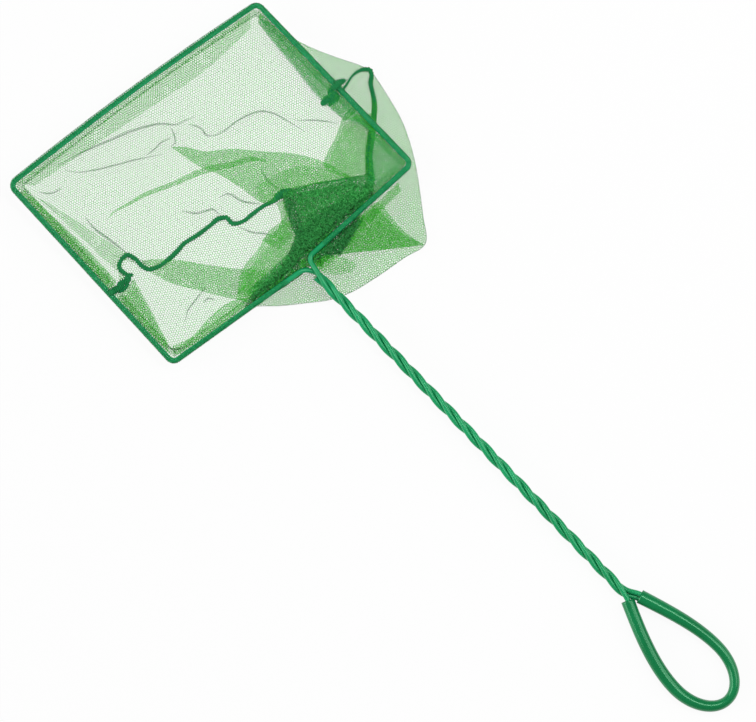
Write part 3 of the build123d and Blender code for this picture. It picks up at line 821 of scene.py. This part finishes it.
# %% Folds of the bag
FOLDS = {
    # name: (edge that holds it, edge where it turns, layer in mm, passes, panel, carried by, turn of the
    # weave in degrees, height of its crumples in mm, finish)
    "long_fold": (
        [(171, 147), (188, 159), (202, 168), (216, 173), (240, 187), (264, 203), (300, 190), (330, 182),
         (353, 180)],
        [(171, 146.6), (185, 146.6), (203.5, 151), (230.6, 148.5), (261, 151), (292, 153), (315, 158.5),
         (338, 168), (353, 177.6)],
        0.6, 2, "far", None, 40, 1.2, netting),
    "long_fold_end": (
        [(262, 203), (285, 193), (310, 186), (335, 181), (353, 179)],
        [(254, 186), (280, 172), (305, 166), (330, 170), (352, 177)],
        1.0, 1, "far", None, 3, 1.2, netting),
    "long_crease": (
        [(106.6, 220), (113, 213), (124, 207.5), (141, 198.5), (176, 185), (203, 174), (221, 169.5),
         (231, 167.5), (250.5, 161), (269, 161.5)],
        [(106.6, 220), (112, 211.5), (123.5, 205), (140, 194.5), (175, 180), (201, 168), (219, 163.5),
         (230.6, 161.5), (250.5, 156), (269, 161)],
        0.5, 2, "far", None, 20, 0.4, netting),
    "lower_fold": (
        [(143, 268), (160, 278), (174, 284), (197, 290), (220, 296), (243, 300), (266, 296)],
        [(141, 260), (158, 259), (176, 259.6), (197, 263), (220, 266.5), (243, 269), (266, 270)],
        0.6, 2, "near", None, 25, 1.2, netting),
    "tongue": (
        [(354, 178), (350, 205), (332, 232), (312, 264), (286, 286), (252, 304)],
        [(282, 200), (285, 216), (269, 231), (258, 249), (243, 268), (236, 299)],
        1.3, 3, "near", "right", 5, 1.6, netting),
    "tongue_edge": (
        [(288, 196), (291, 209), (293, 222), (291, 236), (279, 250)],
        [(276, 203), (280, 213), (281, 222), (275, 231), (262, 240)],
        1.5, 2, "near", "right", 19, 1.0, netting),
    # the heap and the folds beside it wear netting painted darker as the shade inside the heap
    "heap": (
        [(373, 173), (373, 194), (350, 221), (330, 242), (313, 264), (284, 287), (256, 305)],
        [(281, 189), (286, 205), (291, 221), (295, 234), (291, 248), (273, 268), (246, 292)],
        2.0, 4, "near", "right", 70, 3.0, shaded_heap_netting),
    "heap_brow": (
        [(284, 191), (308, 187.5), (330, 180.5), (356, 177)],
        [(288, 203), (311, 199), (333, 192), (357, 188)],
        2.2, 2, "near", "right", 37, 1.2, shaded_heap_netting),
    "heap_band": (
        [(373, 184), (352, 219), (331, 242), (313, 265), (288, 285), (244, 309)],
        [(356, 186), (330, 206), (309, 217), (298, 232), (284, 263), (250, 296)],
        2.6, 4, "near", "right", 31, 2.4, shaded_bunched_netting),
    "heap_foot": (
        [(352, 219), (338, 232), (326, 243), (317, 252), (312, 262)],
        [(357, 232), (347, 243), (337, 254), (328, 260), (319, 268)],
        0.8, 6, "near", "right", 27, 0.8, shaded_bunched_netting),
    "heap_ridge": (
        [(282, 195), (287, 214), (293, 231), (299, 244)],
        [(293, 194), (298, 213), (304, 229), (310, 242)],
        4.2, 2, "near", "right", 13, 1.0, shaded_bunched_netting),
    "right_patch": (
        [(376, 112), (373, 130), (371, 150), (371, 170), (368, 188)],
        [(342, 118), (335, 138), (327, 153), (323, 164), (352, 180)],
        0.8, 3, "far", None, 62, 1.2, netting),
    "corner_fold": (
        [(354, 103), (384, 134), (410, 164), (386, 188), (358, 212)],
        [(343, 117), (370, 131), (369, 156), (367, 184), (350, 206)],
        0.8, 3, "near", "right", 15, 1.6, netting),
    "corner_core": (
        [(356, 104), (385, 134), (411, 164), (387, 188), (360, 212)],
        [(347, 120), (370, 131), (369, 156), (367, 184), (350, 206)],
        2.0, 1, "near", "right", 51, 1.2, hem_netting),
    "side_band": (
        [(260, 13), (283, 35), (306, 57), (334, 86), (358, 110)],
        [(258, 23), (276, 45), (293, 65), (320, 98), (345, 121)],
        0.5, 3, "far", "right", 48, 0.8, netting),
    "side_core": (
        [(264, 13), (285, 34), (308, 56), (336, 85), (360, 109)],
        [(258, 23), (275, 46), (292, 66), (319, 99), (345, 121)],
        1.6, 1, "far", "right", 22, 0.8, hem_netting),
    "rim_wall": (
        [(18, 183), (75, 143), (135, 98), (195, 54), (250, 13)],
        [(34, 186), (92, 147), (150, 108), (208, 68), (251, 28)],
        0.5, 1, "far", "far", 75, 0.8, netting),
    "left_band": (
        [(18, 194), (43, 221), (68, 247), (93, 273), (110, 290)],
        [(25, 190), (54, 217), (82, 244), (103, 266), (117, 282)],
        0.5, 3, "far", "far", 30, 0.8, netting),
    "left_pleat": (
        [(36, 197), (60, 218), (85, 241), (108, 263), (120, 274)],
        [(43, 200), (74, 219), (96, 234), (112, 244), (127, 254)],
        0.5, 1, "far", "far", 66, 0.8, netting),
    "near_left_fold": (
        [(117, 299), (131, 313), (146, 329), (158, 342), (170, 354)],
        [(134, 279), (143, 296), (153, 314), (160, 328), (167, 340)],
        0.5, 3, "near", "near", 8, 1.0, netting),
    "near_hem_fold": (
        [(174, 357), (196, 343), (216, 330), (240, 313), (256, 304)],
        [(172, 346), (190, 338), (209, 318), (228, 303), (243, 298)],
        0.5, 2, "near", "near", 50, 0.8, netting),
    "outer_flap": (
        [(338, 255), (358, 252), (375, 250.5), (398, 248), (423.6, 245)],
        [(345, 229), (380, 203.5), (392, 218), (406, 233), (423.6, 244)],
        0.9, 4, "near", "right", 45, 1.2, netting),
    "flap_edge": (
        [(356, 214), (345, 229), (337, 243), (334, 255)],
        [(366, 216), (357, 231), (348, 245), (340, 256)],
        1.6, 4, "near", "right", 64, 0.6, shaded_bunched_netting),
    # two passes of netting along the wire's outer side: partly the cloth that lies there, partly a darker
    # band that paints the shade beside the wire
    "wire_foot": (
        [(398, 183), (373, 207), (351, 229), (331, 249), (317, 263)],
        [(401, 191), (379, 213), (357, 236), (337, 257), (322, 271)],
        0.6, 2, "near", "right", 70, 0.8, netting),
    "neck_fold": (
        [(312, 263), (321, 271), (335, 275), (352, 272)],
        [(321, 255), (333, 256), (345, 258), (357, 264)],
        3.0, 2, "near", "right", 20, 0.6, netting),
}
FOLD_GAP = 0.3 * MM  # from one pass of a fold to the next
FOLD_ROWS, PASS_STEPS = 80, 16
CRUMPLE_FINENESS, CRUMPLE_SHIFT = 2.6, 11 * MM  # crumples are the slow waves made finer
FOLD_END, END_LIFT = 0.15, 0.2  # shares of a fold's length and height at its ends
TUCK = 2.1 * MM  # folds pass this far under the wire's middle
TURN_STEP, END_STEP = 0.12, 0.06  # how much each second pass falls short, in shares
WEAVE_TURN = 37  # the weave's turn from one pass to the next


def add_passes(panel, held, turned, lift, passes, carried_by, turn, crumple, finish):
    """The cloth between two edges: the share across is half of one less the cosine of the way, which is
    counted in passes, and the height grows evenly with the way. Every second turn falls short a little.
    Crumples, the slow waves made finer, add to the height and differ from pass to pass. At both ends the
    passes come down on each other, and close to the wire the height is held below it."""
    for number in range(passes):
        short = number // 2
        shares = np.linspace(END_STEP * short, 1 - END_STEP * short, FOLD_ROWS)
        start, end = smooth_curve(held, shares), smooth_curve(turned, shares)
        way = np.linspace(number, number + 1, PASS_STEPS + 1)
        t = (1 - TURN_STEP * short) * (0.5 - 0.5 * np.cos(np.pi * way))
        plan = start[:, None, :] * (1 - t)[None, :, None] + end[:, None, :] * t[None, :, None]
        layer = lift + FOLD_GAP * way[None, :]
        layer = layer + crumple * slow_waves(CRUMPLE_FINENESS * (plan + number * CRUMPLE_SHIFT))
        closing = np.clip(np.minimum(shares, 1 - shares) / FOLD_END, 0, 1)[:, None]
        height = lie(plan, carriers[carried_by]) + layer * (END_LIFT + (1 - END_LIFT) * np.sqrt(closing))
        distance, _ = nearest(plan, whole_hoop)
        height = np.minimum(height, wire_height(plan) - TUCK + distance)
        place = cloth_place(plan, turn + WEAVE_TURN * number)
        panels[panel].append((on_model(plan, height), place, finish))


for held, turned, layer, passes, panel, carried_by, turn, crumple, finish in FOLDS.values():
    add_passes(panel, from_neck(held), from_neck(turned), layer * MM, passes, carried_by, turn, crumple * MM,
               finish)
print("folds:", len(FOLDS))

# %% [markdown]
# A crease is a pleat that stands up: the cloth rises and falls again within a hair's breadth, and its threads
# are pinched together there. Seen from above, that is why it shows as a thin dark line, and its netting is
# also painted darker as the shade on its steep sides. The outer folds, where the cloth turns back to the
# wire, get a lower one.

# %% Creases
PLEAT_HEIGHT = 1.7 * MM
PLEAT_WIDENING = 1.5
PLEAT_STEPS = 9
SWELL_SHAPE = 0.6  # below one, a pleat keeps its width nearly to its ends
EDGE_WIDTH, EDGE_HEIGHT, EDGE_POINTS = 0.5 * MM, 0.8 * MM, 160


def add_pleat(panel, line, width, height):
    """A strip along the line, as wide and as high as it swells at each point, arched across."""
    across = np.linspace(-1, 1, PLEAT_STEPS)
    shift = sideways(line) * (width / 2)[:, None]
    plan = line[:, None, :] + shift[:, None, :] * across[None, :, None]
    rise = height[:, None] * (1 - across**2)[None, :]
    points = on_model(plan, lie(plan, carriers[panel]) + rise)
    # the pleats wear the bunched netting, painted darker as the shade on their steep sides
    panels[panel].append((points, unrolled(points), shaded_bunched_netting))


swell = np.clip(np.sin(np.pi * np.linspace(0, 1, CREASE_POINTS)), 0, 1) ** SWELL_SHAPE
for name, (_, width, panel) in CREASES.items():
    add_pleat(panel, crease_lines[name], PLEAT_WIDENING * width * MM * swell, PLEAT_HEIGHT * swell)
for panel, outer in (("far", FAR_OUTER), ("near", NEAR_OUTER)):
    line = even_curve(from_neck(outer), EDGE_POINTS)
    add_pleat(panel, line, np.full(EDGE_POINTS, EDGE_WIDTH), np.full(EDGE_POINTS, EDGE_HEIGHT))
print("pleats:", len(CREASES), "creases and two outer edges")

# %% [markdown]
# All sheets, folds and creases of a panel together are one object, which stands for the panel's plain
# solid in the model.

# %% The two panels
nets = {}
for name, sheets in panels.items():
    grids, maps, finishes = zip(*sheets)
    nets[name] = object_from_grids(name + "_net", grids, maps, finishes, name + "_net_panel")
    area = sum(face.area for face in nets[name].data.polygons)
    print(name, "net area, square mm:", round(area / MM**2))

# %% [markdown]
# The edge of each panel is folded over the wire and sewn to itself, so the wire lies in a sleeve of
# netting. Two layers of cloth go round the wire, carried along the hoop's line, and the turned-in edges
# of the cloth run in from it, one on the other, to the line where they are sewn to the bag.

# %% Hems round the wire
SLEEVE_RADII = (WIRE_RADIUS + 0.14 * MM, WIRE_RADIUS + 0.30 * MM)
HEM_REACH = 4.8 * MM
HEM_FOOT = 0.7 * MM
FLAP_LIFT = 0.5 * MM
FLAP_LIFTS = (0.1 * MM, 0.3 * MM, FLAP_LIFT)
FLAP_ROWS, SLEEVE_ROWS = 5, 16
SLEEVE_FROM, SLEEVE_TO = 50, 305  # degrees round the wire


def hem_rows(rows, heights):
    """Lines at the same stations, side by side, as one grid with its place on the cloth's map."""
    points = on_model(np.stack(rows, axis=1), np.stack(heights, axis=1))
    return points, unrolled(points)


def sleeve(corners, radius, side_steps):
    """The cloth round the wire: the inset is the radius times the angle's cosine, the height its sine."""
    angles = np.radians(np.linspace(SLEEVE_FROM, SLEEVE_TO, SLEEVE_ROWS))
    rows = [hoop_line(corners, radius * math.cos(angle), side_steps) for angle in angles]
    heights = [wire_height(row) + radius * math.sin(angle) for row, angle in zip(rows, angles)]
    return hem_rows(rows, heights)


def flap(corners, side_steps, lift):
    """The cloth beside the wire: rows at growing inset that lie as the bag does, a little higher."""
    rows = [hoop_line(corners, inset, side_steps) for inset in np.linspace(HEM_FOOT, HEM_REACH, FLAP_ROWS)]
    return hem_rows(rows, [lie(row, whole_hoop, lift) for row in rows])


HEMS = {
    # name: (corners, steps along each side)
    "far_hem": (far_corners, 80),
    "near_left_hem": (near_left_corners, 50),
    "near_right_hem": (near_right_corners, 50),
}
for name, (corners, side_steps) in HEMS.items():
    sleeves = [sleeve(corners, radius, side_steps) for radius in SLEEVE_RADII]
    flaps = [flap(corners, side_steps, lift) for lift in FLAP_LIFTS]
    grids, maps = zip(*sleeves, *flaps)
    finishes = [hem_netting] * len(sleeves) + [netting] * len(flaps)
    object_from_grids(name, grids, maps, finishes, name + "_sleeve")

# %% [markdown]
# The seam is overlocked: a thread wraps the cut edges over and over, so it looks like a fat, ribbed
# cord. An oval is carried along the seam's line and swells at every wrap. Its end climbs to the wire.

# %% Seam of the bag
SEAM_FLATNESS = 0.65
SEAM_LIFT = 0.8 * MM
SEAM_CLIMB = 14 * MM
WRAP_PITCH = 1.25 * MM
RIB = 0.22
CORD_SIDES = 14
UP = np.array([0.0, 0.0, 1.0])


def rings(line, height, width, depth, angle):
    """Ovals across a line: level by the cosine of the angle times the width, upright by its sine times
    the depth. Width and depth are arrays over the line, and over the angle if they have two axes."""
    aside = np.concatenate([sideways(line), np.zeros((len(line), 1))], axis=1)
    centre = on_model(line, height)
    return (centre[:, None, :] + aside[:, None, :] * (width * np.cos(angle))[..., None]
            + UP * (depth * np.sin(angle))[..., None])


def ribbed_cord(line, height, half_width, flatness, pitch):
    """Ovals whose size grows by a cosine of the way along plus the angle, so that the ribs run slantwise,
    and shrinks to a point at both ends as a circle does."""
    way = way_along(line)
    angle = np.linspace(0, 2 * np.pi, CORD_SIDES + 1)
    ends = np.clip(np.minimum(way, way[-1] - way) / half_width, 0, 1)
    size = half_width * np.sqrt(1 - (1 - ends) ** 2)
    width = size[:, None] * (1 + RIB * np.cos(2 * np.pi * way[:, None] / pitch + angle))
    points = rings(line, height, width, width * flatness, angle)
    place = np.stack([np.broadcast_to(way[:, None], width.shape), half_width[:, None] * angle], axis=-1)
    return points, place / MM


seam_way = way_along(seam_line)
climb = np.clip(1 - (seam_way[-1] - seam_way) / SEAM_CLIMB, 0, 1)
seam_height = np.maximum(lie(seam_line, carriers["far"], SEAM_LIFT), seam_half * SEAM_FLATNESS)
seam_height += (wire_height(seam_line) - seam_height) * climb**2 * (3 - 2 * climb)
thread_piece("bag_seam", [ribbed_cord(seam_line, seam_height, seam_half, SEAM_FLATNESS, WRAP_PITCH)])

# %% [markdown]
# At both ends of the seam a tack, a few turns of thread pulled tight round the hem, keeps it from
# tearing. It is the same ribbed cord: a few strands lie side by side and climb over the wire.

# %% Tacks
TACKS = {
    # name: one line per strand: x and y in pixels, then half its width in pixels
    "left_seam_tack": [
        [(109, 294, 2.0), (114, 291, 3.6), (119, 288, 3.2), (124, 284, 1.8)],
        [(117, 287, 1.6), (122, 283, 3.4), (127, 281, 2.8), (131, 278, 1.8)],
        [(124, 280, 1.5), (129, 276, 2.6), (133, 274, 1.6)],
        [(119, 293, 1.0), (125, 288, 2.2), (129, 283, 1.2)]],
    "right_seam_tack": [
        [(321, 105, 2.2), (326, 101, 4.2), (332, 97, 4.2), (337, 92, 3.0)],
        [(328, 95, 2.0), (334, 88, 3.6), (341, 82, 3.4), (346, 80, 1.6)],
        [(328, 106, 1.2), (334, 101, 3.0), (340, 95, 2.0)]],
}
TACK_PITCH = 1.0 * MM
TACK_LIFT = 0.8 * MM
TACK_FLATNESS = 0.55
TACK_POINTS = 60
for node, strands in TACKS.items():
    cords = []
    for strand in strands:
        line, half_width = strand_line(strand, TACK_POINTS)
        distance, _ = nearest(line, whole_hoop)
        over = np.sqrt(np.maximum((SLEEVE_RADII[1] + TACK_LIFT) ** 2 - distance**2, 0))
        beside = lie(line, whole_hoop, TACK_LIFT)
        height = np.where(over > 0, np.maximum(beside, wire_height(line) + over - TACK_LIFT / 2), beside)
        cords.append(ribbed_cord(line, height, half_width, TACK_FLATNESS, TACK_PITCH))
    thread_piece(node, cords)

# %% [markdown]
# The hem is closed by a running stitch. Each stitch is a short plump thread that dips into the cloth at
# both ends. One stitch is a small grid of a few rings, carried to its place along the hem.

# %% Stitches
STITCH_INSET = 4.0 * MM
STITCH_PITCH, STITCH_LENGTH, STITCH_RADIUS = 2.0 * MM, 1.3 * MM, 0.22 * MM
STITCH_SKIP = 5 * MM  # no stitch this near to the end of a hem
STITCH_RINGS, STITCH_SIDES = 6, 6
STITCH_SIDE_STEPS = 120  # points along each side of the line they follow


def running_stitch(corners):
    """Stitch middles at equal steps along the hem, and round each a rod that thins to both ends."""
    line = hoop_line(corners, STITCH_INSET, STITCH_SIDE_STEPS)
    way = way_along(line)
    across = np.linspace(-1, 1, STITCH_RINGS)
    arch = 1 - across**2
    angle = np.linspace(0, 2 * np.pi, STITCH_SIDES + 1)
    radius = (STITCH_RADIUS * np.sqrt(arch))[:, None]
    stitches = []
    for middle in np.arange(STITCH_SKIP, way[-1] - STITCH_SKIP, STITCH_PITCH):
        steps = middle + STITCH_LENGTH / 2 * across
        plan = points_at(line, steps / way[-1])
        height = lie(plan, whole_hoop, FLAP_LIFT) + STITCH_RADIUS * arch
        place = np.stack(np.broadcast_arrays(steps[:, None], angle * STITCH_RADIUS), axis=-1)
        stitches.append((rings(plan, height, radius, radius, angle), place / MM))
    return stitches


for node, runs in {"far_hem_stitches": [far_corners],
                   "near_hem_stitches": [near_left_corners, near_right_corners]}.items():
    thread_piece(node, [stitch for corners in runs for stitch in running_stitch(corners)])

# %% [markdown]
# The loop wears a soft plastic tube, cut square at both ends and squeezed flatter round the bend. It is
# darker than the wire's skin and smoother. Its line is made of four cubics, each with the heading it has
# at its ends, and an oval of changing width is carried along it. At each mouth the wall turns in and
# runs a little way back along the bore, so that one looks into a real tube.

# %% Tube of the loop
LOOP_STOPS = [
    # along and across the handle in mm from the neck, heading in degrees, pull of the cubic in mm
    ((229.5, -1.5), -23, 0, 48), ((277.5, -15.1), 0, 48, 37), ((299.84, 0.0), 90, 24.9, 24.9),
    ((277.5, 14.9), 180, 37, 45), ((232.2, 4.3), 198.5, 45, 0)]
TUBE_STEPS = 60
TUBE_SIDES = 32
TUBE_HALF = np.array([3.45, 3.45, 3.35, 3.0, 2.55, 2.65, 2.9, 3.3, 3.6]) * MM  # half width, two to a cubic
TUBE_HALF_HEIGHT = 3.4 * MM
TUBE_WALL = 0.5 * MM
MOUTH_STEPS = 14  # how many rings the wall runs back in


def heading(degrees):
    """The arrow of length one at an angle."""
    return np.array([math.cos(math.radians(degrees)), math.sin(math.radians(degrees))])


def cubic_run(first, last):
    """A cubic between two stops that leaves and arrives along their headings, as strong as they pull."""
    (start, leaves, _, pull), (end, arrives, push, _) = first, last
    t = np.linspace(0, 1, TUBE_STEPS, endpoint=False)[:, None]
    return cubic(np.array(start), pull * heading(leaves), np.array(end), push * heading(arrives), t) * MM


runs = [cubic_run(first, last) for first, last in zip(LOOP_STOPS[:-1], LOOP_STOPS[1:])]
tube_line = np.concatenate(runs + [np.array([LOOP_STOPS[-1][0]]) * MM])
shares = np.linspace(0, 1, len(tube_line))
half_width = np.interp(shares, np.linspace(0, 1, len(TUBE_HALF)), TUBE_HALF)[:, None]
half_height = np.full_like(half_width, TUBE_HALF_HEIGHT)
tube_height = wire_height(tube_line)
angle = np.linspace(0, 2 * np.pi, TUBE_SIDES + 1)
outside = rings(tube_line, tube_height, half_width, half_height, angle)
bore = rings(tube_line, tube_height, half_width - TUBE_WALL, half_height - TUBE_WALL, angle)
first_mouth = np.concatenate([outside[:1], bore[:MOUTH_STEPS]])[:, ::-1]
last_mouth = np.concatenate([outside[-1:], bore[:-MOUTH_STEPS:-1]])
tube_skin = plastic_skin("tube_skin", (0.001, 0.172, 0.048), (0.002, 0.225, 0.068),
                         roughness=0.20, shine=1.00, wave=0.02)
grids = [outside, first_mouth, last_mouth]
maps = [np.stack(np.broadcast_arrays(np.arange(len(grid))[:, None], angle), axis=-1) for grid in grids]
object_from_grids("loop_tube", grids, maps, [tube_skin] * len(grids), "loop_grip_tube")
